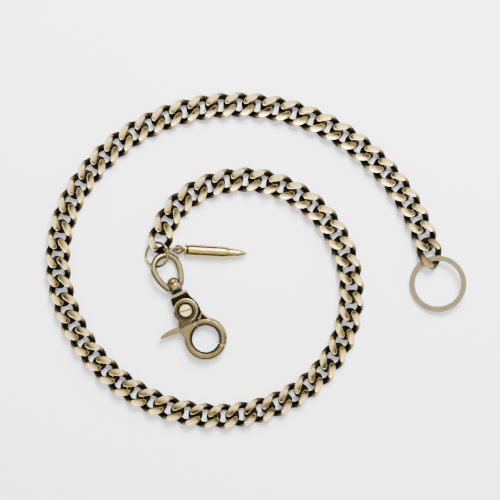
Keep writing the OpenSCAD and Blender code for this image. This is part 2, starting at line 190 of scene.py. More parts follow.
def plate(outline, low, high, place, corner=0.5, edge=0.25, hollow=None, material=0, hollow_material=None):
    """A cast plate from an outline in millimetres: rounded corners, softened edges, and a sunk face if asked."""
    bm = bmesh.new()
    bm.faces.new([bm.verts.new((x * MM, y * MM, low * MM)) for x, y in outline])
    if corner:
        bmesh.ops.bevel(bm, geom=bm.verts[:], offset=corner * MM, segments=4, profile=0.5, affect="VERTICES",
                        material=-1, clamp_overlap=True)
    face = bm.faces[:][0]
    grown = bmesh.ops.extrude_face_region(bm, geom=[face])
    raised = [g for g in grown["geom"] if isinstance(g, bmesh.types.BMVert)]
    bmesh.ops.translate(bm, vec=(0, 0, (high - low) * MM), verts=raised)
    bmesh.ops.remove_doubles(bm, verts=bm.verts, dist=1e-5)
    bmesh.ops.recalc_face_normals(bm, faces=bm.faces)
    flat = [f for f in bm.faces if abs(f.normal.z) > 0.99]
    rims = list({e for f in flat for e in f.edges})
    bmesh.ops.bevel(bm, geom=rims, offset=edge * MM, segments=3, profile=0.5, affect="EDGES", material=-1,
                    clamp_overlap=True)
    dress(bm, material)
    if hollow:
        top = max((f for f in bm.faces if f.normal.z > 0.99), key=lambda f: f.calc_area())
        bmesh.ops.inset_region(bm, faces=[top], thickness=hollow[0] * MM, use_even_offset=True)
        bmesh.ops.inset_region(bm, faces=[top], thickness=hollow[1] * MM, depth=-hollow[1] * MM,
                               use_even_offset=True)
        top.material_index = material if hollow_material is None else hollow_material
        for f in top.edges[0].link_faces:
            f.material_index = top.material_index
    bmesh.ops.transform(bm, matrix=place, verts=bm.verts)
    return bm


def sweep(section, moves, place, closed=False, material=0, flat_ends=0.0):
    """A ring of section points (sideways, up) in millimetres carried along a run of turns.

    moves starts with (point, way, up) of the section and goes on with (centre, axis, angle, steps)."""
    point, way, up = (Vector(v) for v in moves[0])
    side = up.cross(way).normalized()
    up = way.cross(side).normalized()
    bm = bmesh.new()
    verts = [bm.verts.new(point + side * (a * MM) + up * (b * MM)) for a, b in section]
    first = [bm.edges.new((verts[k - 1], verts[k])) for k in range(len(verts))]
    geom = verts + first
    for k, (centre, axis, turn, steps) in enumerate(moves[1:]):
        last = closed and k == len(moves) - 2
        done = bmesh.ops.spin(bm, geom=geom, cent=centre, axis=axis, angle=turn * ((steps - 1) / steps if last else 1),
                              steps=steps - 1 if last else steps)
        geom = done["geom_last"]
    if closed:
        bmesh.ops.bridge_loops(bm, edges=first + [g for g in geom if isinstance(g, bmesh.types.BMEdge)])
    else:
        close_ends(bm)
        caps = [f for f in bm.faces if len(f.verts) == len(section)]
        if flat_ends:
            bmesh.ops.bevel(bm, geom=list({e for f in caps for e in f.edges}), offset=flat_ends * MM, segments=2,
                            profile=0.5, affect="EDGES", material=-1, clamp_overlap=True)
    bmesh.ops.transform(bm, matrix=place, verts=bm.verts)
    return dress(bm, material)


def dress(bm, material):
    """Faces outward, smooth, and all of one material."""
    bmesh.ops.recalc_face_normals(bm, faces=bm.faces)
    for face in bm.faces:
        face.material_index = material
        face.smooth = True
    return bm


def round_section(radius, count=20):
    """Points of a round wire section, in millimetres."""
    return [(radius * math.cos(math.tau * k / count), radius * math.sin(math.tau * k / count)) for k in range(count)]


def piece(name, shells, materials, body, nodes, crease=38):
    """Joins shells into one object that rides on a body and stands for its CAD nodes."""
    mesh = bpy.data.meshes.new(name)
    whole = bmesh.new()
    for shell in shells:
        part = bpy.data.meshes.new("shell")
        shell.to_mesh(part)
        shell.free()
        whole.from_mesh(part)
        bpy.data.meshes.remove(part)
    whole.to_mesh(mesh)
    whole.free()
    mesh.set_sharp_from_angle(angle=math.radians(crease))
    obj = bpy.data.objects.new(name, mesh)
    bpy.context.scene.collection.objects.link(obj)
    for material in materials:
        mesh.materials.append(material)
    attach(obj, body)
    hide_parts(*nodes)
    return obj


def turned(origin, heading=0.0, roll=0.0):
    """Place of a local frame: turned about Z by heading, then rolled about its own X."""
    return Matrix.Translation(origin) @ Matrix.Rotation(heading, 4, "Z") @ Matrix.Rotation(roll, 4, "X")


def tilted(origin, tilt, azimuth):
    """Place of a ring whose normal leans by tilt towards azimuth, in degrees."""
    return (Matrix.Translation(Vector(origin) * MM) @ Matrix.Rotation(math.radians(azimuth), 4, "Z")
            @ Matrix.Rotation(math.radians(tilt), 4, "Y"))


ALONG = Matrix(((0, 0, 1, 0), (0, 1, 0, 0), (-1, 0, 0, 0), (0, 0, 0, 1)))  # turns local Z to +X


def clasp_frame(roll=0.0):
    swivel = JOINTS["clasp_swivel"]
    return turned(Vector(swivel["pos_m"]), math.atan2(swivel["axis"][1], swivel["axis"][0]), roll)


# ---------------------------------------------------------------- shader helpers


def socket(group, name, kind, way="INPUT", default=None):
    """Adds a socket to a node group."""
    made = group.interface.new_socket(name=name, in_out=way, socket_type=kind)
    if default is not None:
        made.default_value = default


def tree_node(tree, kind, links=None, **values):
    """A node with its settings; links fill input sockets by name or number."""
    node = tree.nodes.new(kind)
    for key, value in values.items():
        setattr(node, key, value)
    for key, value in (links or {}).items():
        if isinstance(value, bpy.types.NodeSocket):
            tree.links.new(value, node.inputs[key])
        else:
            node.inputs[key].default_value = value
    return node


def maths(tree, operation, a, b=0.0, clamp=False):
    return tree_node(tree, "ShaderNodeMath", {0: a, 1: b}, operation=operation, use_clamp=clamp).outputs[0]


def ramp(tree, value, low, high, to_low=0.0, to_high=1.0):
    """A smooth step from to_low to to_high as the value goes from low to high."""
    return tree_node(tree, "ShaderNodeMapRange", {0: value, 1: low, 2: high, 3: to_low, 4: to_high},
                     interpolation_type="SMOOTHSTEP").outputs[0]


def mix_colour(tree, factor, a, b, blend="MIX"):
    node = tree_node(tree, "ShaderNodeMix", {0: factor, 6: a, 7: b}, data_type="RGBA", blend_type=blend)
    return node.outputs[2]


def antique_group():
    """Antique Finish: rubbed metal over patina, from a mask of wear that for some materials also carries painted shade
    and painted highlight, with mottling, pits and tarnish.
    """
    group = bpy.data.node_groups.get("Antique Finish")
    if group:
        return group
    group = bpy.data.node_groups.new("Antique Finish", "ShaderNodeTree")
    socket(group, "Metal", "NodeSocketColor", default=(0.6, 0.45, 0.22, 1))
    socket(group, "Patina", "NodeSocketColor", default=(0.012, 0.01, 0.008, 1))
    # The Rub mask carries rubbed wear, and for some materials painted shade and painted highlight.
    socket(group, "Rub", "NodeSocketFloat", default=1.0)
    socket(group, "Mottle", "NodeSocketFloat", default=0.35)
    socket(group, "Gloss", "NodeSocketFloat", default=0.3)
    socket(group, "Dull", "NodeSocketFloat", default=0.6)
    socket(group, "Color", "NodeSocketColor", "OUTPUT")
    socket(group, "Roughness", "NodeSocketFloat", "OUTPUT")
    socket(group, "Height", "NodeSocketFloat", "OUTPUT")
    given = group.nodes.new("NodeGroupInput").outputs
    coords = group.nodes.new("ShaderNodeTexCoord").outputs["Object"]
    cloud = tree_node(group, "ShaderNodeTexNoise", {"Vector": coords, "Scale": 420.0, "Detail": 5.0, "Roughness": 0.6})
    grain = tree_node(group, "ShaderNodeTexNoise", {"Vector": coords, "Scale": 3600.0, "Detail": 3.0, "Roughness": 0.7})
    pits = tree_node(group, "ShaderNodeTexVoronoi", {"Vector": coords, "Scale": 1500.0, "Randomness": 1.0})
    soft = maths(group, "SUBTRACT", cloud.outputs[0], 0.5)
    fine = maths(group, "SUBTRACT", grain.outputs[0], 0.5)
    both = maths(group, "ADD", soft, maths(group, "MULTIPLY", fine, 0.6))
    rub_and_sheen = maths(group, "ADD", given["Rub"], maths(group, "MULTIPLY", both, given["Mottle"]), clamp=True)
    pit = ramp(group, pits.outputs[0], 0.05, 0.16)
    rub_and_sheen = maths(group, "MULTIPLY", rub_and_sheen, maths(group, "ADD", maths(group, "MULTIPLY", pit, 0.35), 0.65))
    warm = tree_node(group, "ShaderNodeHueSaturation",
                     {"Color": given["Metal"], "Hue": maths(group, "ADD", maths(group, "MULTIPLY", soft, 0.05), 0.5),
                      "Saturation": maths(group, "ADD", maths(group, "MULTIPLY", soft, 0.5), 1.0),
                      "Value": maths(group, "ADD", maths(group, "MULTIPLY", both, 0.35), 1.0)})
    colours = mix_colour(group, rub_and_sheen, given["Patina"], warm.outputs[0])
    rough = tree_node(group, "ShaderNodeMix", {0: rub_and_sheen, 2: given["Dull"], 3: given["Gloss"]}).outputs[0]
    rough = maths(group, "ADD", rough, maths(group, "MULTIPLY", fine, 0.22), clamp=True)
    height = maths(group, "ADD", maths(group, "MULTIPLY", grain.outputs[0], 0.5),
                   maths(group, "ADD", maths(group, "MULTIPLY", pit, 0.25), maths(group, "MULTIPLY", rub_and_sheen, 0.3)))
    tree_node(group, "NodeGroupOutput", {"Color": colours, "Roughness": rough, "Height": height})
    return group


def scratch_group():
    """Fine Scratches: thin lines left by grinding and wear, along a chosen direction."""
    group = bpy.data.node_groups.get("Fine Scratches")
    if group:
        return group
    group = bpy.data.node_groups.new("Fine Scratches", "ShaderNodeTree")
    socket(group, "Turn", "NodeSocketVector", default=(0, 0, 0))
    socket(group, "Fineness", "NodeSocketFloat", default=2600.0)
    socket(group, "Mask", "NodeSocketFloat", "OUTPUT")
    given = group.nodes.new("NodeGroupInput").outputs
    coords = group.nodes.new("ShaderNodeTexCoord").outputs["Object"]
    spun = tree_node(group, "ShaderNodeMapping", {"Vector": coords, "Rotation": given["Turn"], "Scale": (0.06, 1, 1)})
    lines = tree_node(group, "ShaderNodeTexNoise",
                      {"Vector": spun.outputs[0], "Scale": given["Fineness"], "Detail": 4.0, "Roughness": 0.65})
    tree_node(group, "NodeGroupOutput", {"Mask": lines.outputs[0]})
    return group


def use_group(tree, group, links):
    """A group node with its inputs linked or set by name."""
    node = tree.nodes.new("ShaderNodeGroup")
    node.node_tree = group
    for key, value in links.items():
        if isinstance(value, bpy.types.NodeSocket):
            tree.links.new(value, node.inputs[key])
        else:
            node.inputs[key].default_value = value
    return node


def metal(name, rub_and_sheen, metal_colour, gloss, dull, mottle, bump, scratch=0.0, scratch_turn=0.0, waves=0.0):
    """A brass material. The mask argument is a number, or a function of the node tree that gives the mask: rubbed wear,
    and for some materials painted shade and painted highlight.
    """
    made = bpy.data.materials.get(name)
    if made:
        return made
    finish = bpy.context.scene.chain_finish
    made = bpy.data.materials.new(name)
    made.use_nodes = True
    tree = made.node_tree
    shader = tree.nodes["Principled BSDF"]
    shader.inputs["Metallic"].default_value = 1.0
    mask = rub_and_sheen(tree) if callable(rub_and_sheen) else rub_and_sheen
    antique = use_group(tree, antique_group(), {
        "Metal": (*metal_colour, 1), "Patina": (*finish.patina, 1), "Rub": mask, "Mottle": mottle,
        "Gloss": gloss, "Dull": dull})
    rough, height = antique.outputs["Roughness"], maths(tree, "MULTIPLY", antique.outputs["Height"], bump)
    if scratch:
        lines = use_group(tree, scratch_group(), {"Turn": (0, 0, scratch_turn), "Fineness": 2600.0}).outputs["Mask"]
        height = maths(tree, "ADD", height, maths(tree, "MULTIPLY", lines, scratch))
        spread = maths(tree, "MULTIPLY", maths(tree, "SUBTRACT", lines, 0.5), 0.25)
        rough = maths(tree, "ADD", rough, spread, clamp=True)
    if waves:
        coords = tree.nodes.new("ShaderNodeTexCoord").outputs["Object"]
        swell = tree_node(tree, "ShaderNodeTexNoise", {"Vector": coords, "Scale": 190.0, "Detail": 1.0})
        height = maths(tree, "ADD", height, maths(tree, "MULTIPLY", swell.outputs[0], waves))
    relief = tree_node(tree, "ShaderNodeBump", {"Strength": 0.5, "Distance": 0.00006, "Height": height})
    tree.links.new(antique.outputs["Color"], shader.inputs["Base Color"])
    tree.links.new(rough, shader.inputs["Roughness"])
    tree.links.new(relief.outputs[0], shader.inputs["Normal"])
    return made


def height_rub(low, high, middle=2.0, top=1.0):
    """Rub mask from the height over or under the middle of the chain, in millimetres."""
    def build(tree):
        coords = tree.nodes.new("ShaderNodeTexCoord").outputs["Object"]
        up = tree_node(tree, "ShaderNodeSeparateXYZ", {0: coords}).outputs[2]
        away = maths(tree, "ABSOLUTE", maths(tree, "SUBTRACT", up, middle * MM))
        return ramp(tree, away, low * MM, high * MM, 0.0, top)
    return build


def flank_rub():
    """Rub mask of the links: ground edges, and the outer flanks that the shell marks as rubbed."""
    def build(tree):
        marked = tree_node(tree, "ShaderNodeAttribute", attribute_name="rub_and_sheen").outputs["Fac"]
        return maths(tree, "MAXIMUM", height_rub(1.8, 2.02, top=0.6)(tree), maths(tree, "MULTIPLY", marked, 0.92))
    return build


def facet_painted_sheen(low, high):
    """Mask of the ground faces: a painted highlight, brightest at their outer ends, fading to painted shade in the
    patina colour towards the middle of the chain.
    """
    def build(tree):
        marked = tree_node(tree, "ShaderNodeAttribute", attribute_name="rub_and_sheen").outputs["Fac"]
        return ramp(tree, marked, 0.0, 1.0, low, high)
    return build


def facing_painted_shade(low, high, top, bottom):
    """Mask from how far a face looks up or down: faces that look sideways get painted shade in the patina colour."""
    def build(tree):
        normal = tree.nodes.new("ShaderNodeTexCoord").outputs["Normal"]
        up = tree_node(tree, "ShaderNodeSeparateXYZ", {0: normal}).outputs[2]
        return ramp(tree, maths(tree, "ABSOLUTE", up), low, high, bottom, top)
    return build


def dark_eye_edge_and_side_shade(centre, inner, outer):
    """Mask that darkens the inner edge of the hook eye to the patina colour, and puts painted shade on faces that look
    sideways.
    """
    def build(tree):
        coords = tree.nodes.new("ShaderNodeTexCoord").outputs["Object"]
        away = tree_node(tree, "ShaderNodeVectorMath", {0: coords, 1: centre}, operation="SUBTRACT").outputs[0]
        flat = tree_node(tree, "ShaderNodeVectorMath", {0: away, 1: (1, 1, 0)}, operation="MULTIPLY").outputs[0]
        reach = tree_node(tree, "ShaderNodeVectorMath", {0: flat}, operation="LENGTH").outputs["Value"]
        ring = ramp(tree, reach, inner * MM, outer * MM, 0.0, 1.0)
        return maths(tree, "MULTIPLY", ring, facing_painted_shade(0.05, 0.6, 1.0, 0.45)(tree))
    return build


def finishes():
    """Every material, made once."""
    finish = bpy.context.scene.chain_finish
    eye = clasp_frame() @ Vector((EYE[0] * MM, EYE[1] * MM, 0))
    return {
        "wire": metal("Patinated wire", flank_rub(), finish.flank, gloss=0.28, dull=0.5, mottle=0.3, bump=0.3),
        # Ground faces: a painted highlight gradient from the mask, brightest at their outer ends, painted shade towards
        # the middle of the chain.
        "facet": metal("Ground brass", facet_painted_sheen(0.05, 1.0), finish.bright, gloss=0.22, dull=0.5, mottle=0.5,
                       bump=0.12, scratch=0.25, scratch_turn=0.6, waves=2.6),
        "end wire": metal("Dark end wire", height_rub(1.6, 2.6, middle=2.4, top=0.4), finish.brass, gloss=0.4,
                          dull=0.55, mottle=0.5, bump=0.4),
        # End faces carry a weaker copy of the same painted highlight gradient.
        "end facet": metal("Dark end face", facet_painted_sheen(0.25, 0.8), finish.brass, gloss=0.3, dull=0.5, mottle=0.5,
                           bump=0.3, scratch=0.2),
        "split ring": metal("Flat pale brass", 0.97, finish.pale, gloss=0.42, dull=0.6, mottle=0.2, bump=0.2,
                            scratch=0.5),
        # Thin wire, bail and plates: painted shade on the faces that look sideways.
        "thin wire": metal("Thin brass wire", facing_painted_shade(0.1, 0.7, 0.95, 0.35), finish.thin_wire, gloss=0.26,
                           dull=0.5, mottle=0.4, bump=0.2),
        "bail": metal("Bail brass with painted side shade", facing_painted_shade(0.35, 0.95, 0.95, 0.12), finish.bail, gloss=0.24, dull=0.5,
                      mottle=0.4, bump=0.3),
        # Black fill: patina in hollows, and painted shade in the gaps round the lever and round the screw.
        "black": metal("Black patina and painted shade", 0.0, finish.brass, gloss=0.4, dull=0.45, mottle=0.05, bump=0.4),
        "rivet": metal("Rivet brass", 0.4, finish.brass, gloss=0.3, dull=0.5, mottle=0.5, bump=0.4),
        "plate": metal("Matte antique plate", facing_painted_shade(0.2, 0.8, 0.9, 0.1), finish.olive, gloss=0.42, dull=0.6,
                       mottle=0.45, bump=0.6, scratch=0.3),
        "rim": metal("Rubbed rim", 0.9, finish.rim, gloss=0.32, dull=0.5, mottle=0.35, bump=0.3),
        # Hook: painted shade on sideways faces, and a darker inner edge of the eye.
        "hook": metal("Hook brass with painted side shade", dark_eye_edge_and_side_shade(eye, 4.95, 6.3), finish.hook, gloss=0.26, dull=0.5, mottle=0.35,
                      bump=0.3),
        "screw": metal("Polished screw", 1.0, finish.screw, gloss=0.14, dull=0.4, mottle=0.15, bump=0.1, scratch=0.2),
        "steel": metal("Spring steel", 0.9, finish.steel, gloss=0.3, dull=0.5, mottle=0.2, bump=0.2),
        "case": metal("Satin cartridge brass", 0.96, finish.case, gloss=0.22, dull=0.5, mottle=0.3, bump=0.15,
                      scratch=0.3),
        "nose": metal("Pale nose brass", 0.97, finish.nose, gloss=0.24, dull=0.5, mottle=0.25, bump=0.15, scratch=0.2),
    }


# ---------------------------------------------------------------- links


def link_shell(settings, place, ground):
    """One curb link: round wire along eight arcs, closed on itself, both faces ground flat."""
    reach_x = (settings.link_length - settings.wire) / 2
    reach_y = (settings.link_width - settings.wire) / 2
    tip, flank = Vector((reach_x, 0, 0)), Vector((0, reach_y, 0))
    tip_way = Vector((0, reach_y, -2 * settings.wave)).normalized()
    flank_way = Vector((-reach_x, 0, 2 * settings.wave)).normalized()
    span = flank - tip
    square, line = 2 * tip_way.dot(flank_way) - 2, -2 * span.dot(tip_way + flank_way)
    tangent = (-line - math.sqrt(line * line - 4 * square * span.dot(span))) / (2 * square)
    meeting = (tip + tangent * tip_way + flank - tangent * flank_way) / 2
    x, y, z = meeting
    stops = [meeting, flank, Vector((-x, y, -z)), -tip, Vector((-x, -y, z)), -flank, Vector((x, -y, -z)), tip]
    moves, at, way = [(tip, tip_way, Vector((1, 0, 0)))], tip, tip_way
    for stop in stops:
        chord = stop - at
        side = (chord - chord.dot(way) * way).normalized()
        turn = 2 * chord.angle(way)
        centre = at + side * chord.length / (2 * math.sin(turn / 2))
        axis = way.cross(side)
        moves.append((centre, axis, turn, 7))
        way = Matrix.Rotation(turn, 3, axis) @ way
        at = stop
    bm = sweep(round_section(settings.wire / 2 / MM, 24), moves, Matrix.Identity(4), closed=True)
    for way in (1, -1):
        geom = bm.verts[:] + bm.edges[:] + bm.faces[:]
        bmesh.ops.bisect_plane(bm, geom=geom, dist=1e-7, plane_co=(0, 0, way * settings.thickness / 2),
                               plane_no=(0, 0, way), clear_outer=True)
    bmesh.ops.remove_doubles(bm, verts=bm.verts, dist=2e-5)
    close_ends(bm)
    bmesh.ops.recalc_face_normals(bm, faces=bm.faces)
    bm.normal_update()
    # Per-vertex mask: rubbed wear on the outer flanks of the wire, and a painted highlight gradient on the ground
    # faces.
    marks = bm.verts.layers.float.new("rub_and_sheen")
    for vert in bm.verts:
        out = max(0.0, min(1.0, abs(vert.co.y) / MM - 2.2)) * (1 if vert.co.y > 0 else -1)
        near_face = max(0.0, min(1.0, (abs(vert.co.z) / MM - 1.0) / 0.7))
        vert[marks] = near_face * max(0.0, min(1.0, 1.6 * out * vert.normal.y - 0.05))
    faces = [f for f in bm.faces if len(f.verts) > 8]
    for face in faces:
        drop = -0.35 * settings.facet_edge * (1 if face.calc_center_median().z > 0 else -1)
        rim = face.verts[:]
        bmesh.ops.inset_region(bm, faces=[face], thickness=settings.facet_edge, use_even_offset=True)
        bmesh.ops.translate(bm, vec=(0, 0, drop), verts=rim)
        face.material_index = ground
        face.smooth = False
        # Painted highlight on the ground face: brighter towards the outer ends, painted shade towards the middle of the
        # chain.
        for vert in face.verts:
            vert[marks] = max(0.0, min(1.0, (abs(vert.co.y) / MM - 1.4) / 2.0))
    bmesh.ops.transform(bm, matrix=place, verts=bm.verts)
    return bm


def link_places(settings):
    """Place of every link along the lay, from the clasp end."""
    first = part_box("links_01")
    heading, at = settings.heading, Vector((CHAIN_START[0] * MM, CHAIN_START[1] * MM, (first[0].z + first[1].z) / 2))
    bends = [math.radians(bend) for count, bend in LAY for _ in range(count)]
    places = [turned(at, heading)]
    for bend in bends:
        before = Vector((math.cos(heading), math.sin(heading), 0))
        heading -= bend
        at = at + settings.pitch / 2 * (before + Vector((math.cos(heading), math.sin(heading), 0)))
        places.append(turned(at, heading))
    last = turned(at + Vector((0, 0, settings.end_lift)), heading, settings.end_roll)
    return places[:-1] + [last]


class CHAIN_OT_links(bpy.types.Operator):
    """Builds the ground curb links, two to a piece, and the darker end link"""

    bl_idname = "chain.links"
    bl_label = "Curb Links"

    def execute(self, context):
        settings, look = context.scene.chain_links, finishes()
        places = link_places(settings)
        for k in range(1, len(places) // 2 + 1):
            node = f"links_{k:02d}"
            shells = [link_shell(settings, places[i], 1) for i in (2 * k - 2, 2 * k - 1)]
            piece(f"curb_{node}", shells, [look["wire"], look["facet"]], node, [node])
        piece("curb_end_link", [link_shell(settings, places[-1], 1)], [look["end wire"], look["end facet"]],
              "end_link", ["end_link"])
        return {"FINISHED"}


# ---------------------------------------------------------------- rings


def open_ring(radius, section, place, gap, start=0.0, steps=72, ends=0.0, material=0):
    """A ring of the given section with a gap in degrees, lying in the local XY plane of its place."""
    at = Matrix.Rotation(math.radians(start + gap / 2), 3, "Z")
    point, way = at @ Vector((radius, 0, 0)), at @ Vector((0, 1, 0))
    moves = [(point, way, Vector((0, 0, 1))), ((0, 0, 0), (0, 0, 1), math.radians(360 - gap), steps)]
    return sweep(section, moves, place, material=material, flat_ends=ends)


class CHAIN_OT_split_ring(bpy.types.Operator):
    """Builds the flat split ring from two coils, each open at its own end"""

    bl_idname = "chain.split_ring"
    bl_label = "Split Ring"

    def execute(self, context):
        rings, links = context.scene.chain_rings, context.scene.chain_links
        joint = JOINTS["split_ring_turn"]
        end = link_places(links)[-1].to_euler().z
        place = turned(Vector(joint["pos_m"]), end, math.radians(10)) @ Matrix.Rotation(rings.split_end - end, 4, "Z")
        half, thick = rings.split_band / 2 / MM, rings.split_coil / MM
        soft = 0.14
        section = [(half - soft, 0), (half, soft), (half, thick - soft), (half - soft, thick), (soft - half, thick),
                   (-half, thick - soft), (-half, soft), (soft - half, 0)]
        radius = rings.split_diameter / 2 - rings.split_band / 2
        upper = open_ring(radius, section, place, 4, 0, 96, 0.08)
        lower = open_ring(radius, [(a, b - thick) for a, b in section], place, 4, 180, 96, 0.08)
        piece("flat_split_ring", [upper, lower], [finishes()["split ring"]], "split_ring", ["split_ring"])
        return {"FINISHED"}


class CHAIN_OT_jump_rings(bpy.types.Operator):
    """Builds the two bent wire rings, each with its closed cut"""

    bl_idname = "chain.jump_rings"
    bl_label = "Jump Rings"

    def execute(self, context):
        rings, look = context.scene.chain_rings, finishes()["thin wire"]
        for name, body, node, wide, wire, place, cut in (
                ("bent_jump_ring", "jump_ring", "clasp_jump_ring", rings.jump_diameter, rings.jump_wire,
                 tilted(JUMP_RING_PLACE, *JUMP_RING_TILT), 95),
                ("bent_charm_ring", "charm_ring", "charm_ring", rings.charm_diameter, rings.charm_wire,
                 tilted(CHARM_RING_PLACE, *CHARM_RING_TILT), 200)):
            ring = open_ring((wide - wire) / 2, round_section(wire / 2 / MM, 16), place, 1.5, cut, 72, 0.05)
            piece(name, [ring], [look], body, [node])
        return {"FINISHED"}


# ---------------------------------------------------------------- clasp


class CHAIN_OT_swivel(bpy.types.Operator):
    """Builds the bail with its boss, the black washer and the domed rivet"""

    bl_idname = "chain.swivel"
    bl_label = "Swivel"

    def execute(self, context):
        clasp, look = context.scene.chain_clasp, finishes()
        place = clasp_frame(clasp.bail_turn)
        half, reach, root, drop = 4.6 * MM, 10.2 * MM, 2.3 * MM, 7.2 * MM
        draw = half - root
        side = (drop * drop + draw * draw) / (2 * draw)
        turn = math.asin(drop / side)
        ahead, up = Vector((1, 0, 0)), Vector((0, 0, 1))
        start = Vector((drop - reach, root, 0))
        back = Matrix.Rotation(-turn, 3, "Z") @ ahead
        moves = [(start, -back, up), ((-reach, half - side, 0), (0, 0, 1), turn, 14),
                 ((-reach, 0, 0), (0, 0, 1), math.pi, 26), ((-reach, side - half, 0), (0, 0, 1), turn, 14)]
        bow = sweep(round_section(clasp.bail_wire / 2 / MM, 24), moves, place)
        boss = lathe([(BORE, -4.4), (2.2, -4.4), (2.45, -4.32), (2.7, -4.05), (2.75, -3.8), (2.75, -2.2), (2.7, -1.95),
                      (2.5, -1.68), (2.3, -1.6), (BORE, -1.6), (BORE, -4.4)], place @ ALONG)
        piece("bowed_bail", [bow, boss], [look["bail"]], "bail", ["swivel_bail"])
        axis = clasp_frame() @ ALONG
        washer = lathe([(BORE, -1.5), (2.15, -1.5), (2.25, -1.4), (2.25, -0.65), (2.15, -0.55), (BORE, -0.55),
                        (BORE, -1.5)], axis)
        piece("black_washer", [washer], [look["black"]], "clasp", ["swivel_washer"])
        rivet = lathe([(0, -6.4), (0.7, -6.33), (1.25, -6.13), (1.7, -5.78), (1.95, -5.4), (2.05, -5.05),
                       (2.05, -4.6), (1.95, -4.5), (1.2, -4.5), (1.2, 1.3), (0, 1.3)], axis)
        rub_and_sheen = lathe([(0, -6.44), (0.6, -6.38), (1.05, -6.22), (1.1, -6.15), (0, -6.15)], axis, material=1)
        piece("domed_rivet", [rivet, rub_and_sheen], [look["rivet"], look["rim"]], "clasp", ["swivel_rivet"])
        return {"FINISHED"}


def hook_shell(clasp, place, start, end, material):
    """Part of the hook ring between two angles, in degrees, flattened above and below."""
    middle = clasp.eye + clasp.hook / 2
    section = [(a * 0.857, max(-1.62, min(1.62, b))) for a, b in round_section(1.75, 28)]
    turn = Matrix.Rotation(math.radians(start), 3, "Z")
    moves = [(turn @ Vector((middle, 0, 0)), turn @ Vector((0, 1, 0)), Vector((0, 0, 1))),
             ((0, 0, 0), (0, 0, 1), math.radians(end - start), max(12, round((end - start) / 5)))]
    return sweep(section, moves, place @ Matrix.Translation((EYE[0] * MM, EYE[1] * MM, 0)), material=material,
                 flat_ends=0.18)


class CHAIN_OT_clasp_body(bpy.types.Operator):
    """Builds the flange, lower plate, shoulder and hollowed arm of the clasp, with the fixed half of the hook"""

    bl_idname = "chain.clasp_body"
    bl_label = "Clasp Body"

    def execute(self, context):
        clasp, look = context.scene.chain_clasp, finishes()
        place = clasp_frame()
        brass, black, rim = 0, 1, 2
        flange = lathe([(0, -0.45), (3.15, -0.45), (3.35, -0.36), (3.4, -0.2), (3.4, 0.2), (3.35, 0.36), (3.15, 0.45),
                        (0, 0.45)], place @ ALONG, material=rim)
        across = place.to_3x3().col[2]
        for way in (1, -1):
            bmesh.ops.bisect_plane(flange, geom=flange.verts[:] + flange.edges[:] + flange.faces[:], dist=1e-7,
                                   plane_co=place.translation + across * way * 2.4 * MM, plane_no=across * way,
                                   clear_outer=True)
            close_ends(flange)
        dress(flange, rim)
        disc = lathe([(0, -HALF_CLASP), (3.8, -HALF_CLASP), (4.1, -1.6), (4.2, -1.4), (4.2, -0.02), (0, -0.02)],
                     place @ Matrix.Translation((PIVOT[0] * MM, 0, 0)), material=brass)
        # The lower plate is painted black: painted shade in the gaps between the lever and the arm.
        lower = plate([(0.2, -3.1), (0.2, 3.1), (2.2, 3.6), (5.6, 4.9), (9, 4.9), (10.6, 2.6), (9.6, -2.6), (3, -3.4)],
                      -HALF_CLASP, 0, place, 0.4, 0.22, material=black)
        shoulder = plate([(0.3, -3.1), (0.3, 3.1), (2.2, 3.6), (3.3, 4.0)] + arc(PIVOT, 4.75, 125, 228, 12)
                         + [(2, -3.35)], -HALF_CLASP, 1.66, place, 0, 0.14, material=black)
        arm = plate([(8.6, 4.95), (10, 5.45), (11.6, 6.2), (13.5, 7.25), (15.2, 8.2)]
                    + arc(EYE, 5.2, 118, 176, 6) + [(12.3, 1.55), (11.2, 2.75), (9.6, 4.15)],
                    -HALF_CLASP, 1.66, place, 0, 0.2, hollow=(0.3, 0.22), material=brass, hollow_material=black)
        hook = hook_shell(clasp, place, HOOK_SPLIT + HOOK_GAP, NECK_SPLIT - HOOK_GAP, brass)
        piece("cast_clasp_body", [flange, disc, lower, shoulder, arm, hook],
              [look["hook"], look["black"], look["rim"]], "clasp", ["clasp_body"])
        return {"FINISHED"}


